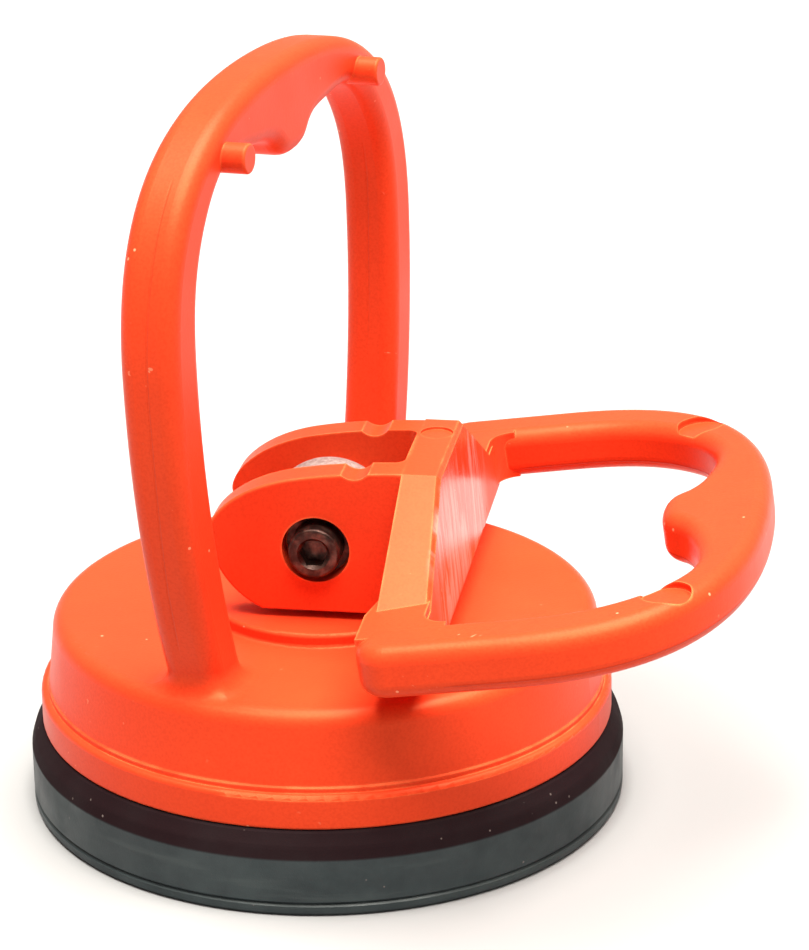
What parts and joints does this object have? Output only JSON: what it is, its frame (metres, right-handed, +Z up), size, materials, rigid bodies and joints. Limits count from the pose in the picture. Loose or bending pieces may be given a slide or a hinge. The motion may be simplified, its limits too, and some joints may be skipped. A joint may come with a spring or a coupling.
{
  "type": "vacuum suction cup",
  "caption": "Hand suction-cup lifter: round rubber pad under a plastic housing with a fixed upright handle, and a hinged cam-lever handle that draws the pad up.",
  "frame": {"origin": "centre of the pad's sealing face, on the surface that it is put on", "axes": "+Z up along the pad's and stem's common axis, the fixed handle stands in the YZ plane, +X is the side that the cam lever lies on"},
  "size_m": [0.1477, 0.1302, 0.1479],
  "materials": {
    "orange_plastic": "satin with a fine moulded texture",
    "black_rubber": "matte moulded",
    "cast_metal": "rough cast",
    "black_steel": "black oxide",
    "plain_steel": "zinc plated",
    "white_acetal": "plain moulded"
  },
  "bodies": {
    "cup": {"housing": "orange_plastic", "rubber_pad": "black_rubber", "guide_bush": "white_acetal", "spring_seat": "plain_steel", "return_spring": "plain_steel"},
    "lift_plate": {"backing_plate": "plain_steel"},
    "stem": {"pivot_eye": "cast_metal", "thrust_washer": "plain_steel", "stem_clip": "plain_steel"},
    "lever": {"cam_lever": "orange_plastic", "pivot_screw": "black_steel", "pivot_washers": "black_steel", "pivot_lock_nut": "black_steel", "lock_nut_insert": "white_acetal", "pivot_sleeve": "plain_steel", "eye_spacers": "white_acetal"}
  },
  "joints": [
    {"name": "plate_lift", "type": "slide", "parent": "cup", "child": "lift_plate", "axis": [0, 0, 1], "range_m": [0, 0.0067], "deforming": ["return_spring"]},
    {"name": "lever_swing", "type": "hinge", "parent": "lift_plate", "child": "stem", "pos_m": [0, 0, 0], "axis": [0, 0, 1], "range_deg": [-11.25, 0]},
    {"name": "lever_pivot", "type": "hinge", "parent": "stem", "child": "lever", "pos_m": [0.00118, 0.00023, 0.0553], "axis": [0.1942, -0.981, 0], "range_deg": [0, 84]}
  ],
  "couplings": [
    {"joint": "plate_lift", "follows": "lever_pivot", "m_per_rad": 0.00455},
    {"joint": "lever_swing", "follows": "lever_pivot", "ratio": -0.1333}
  ]
}
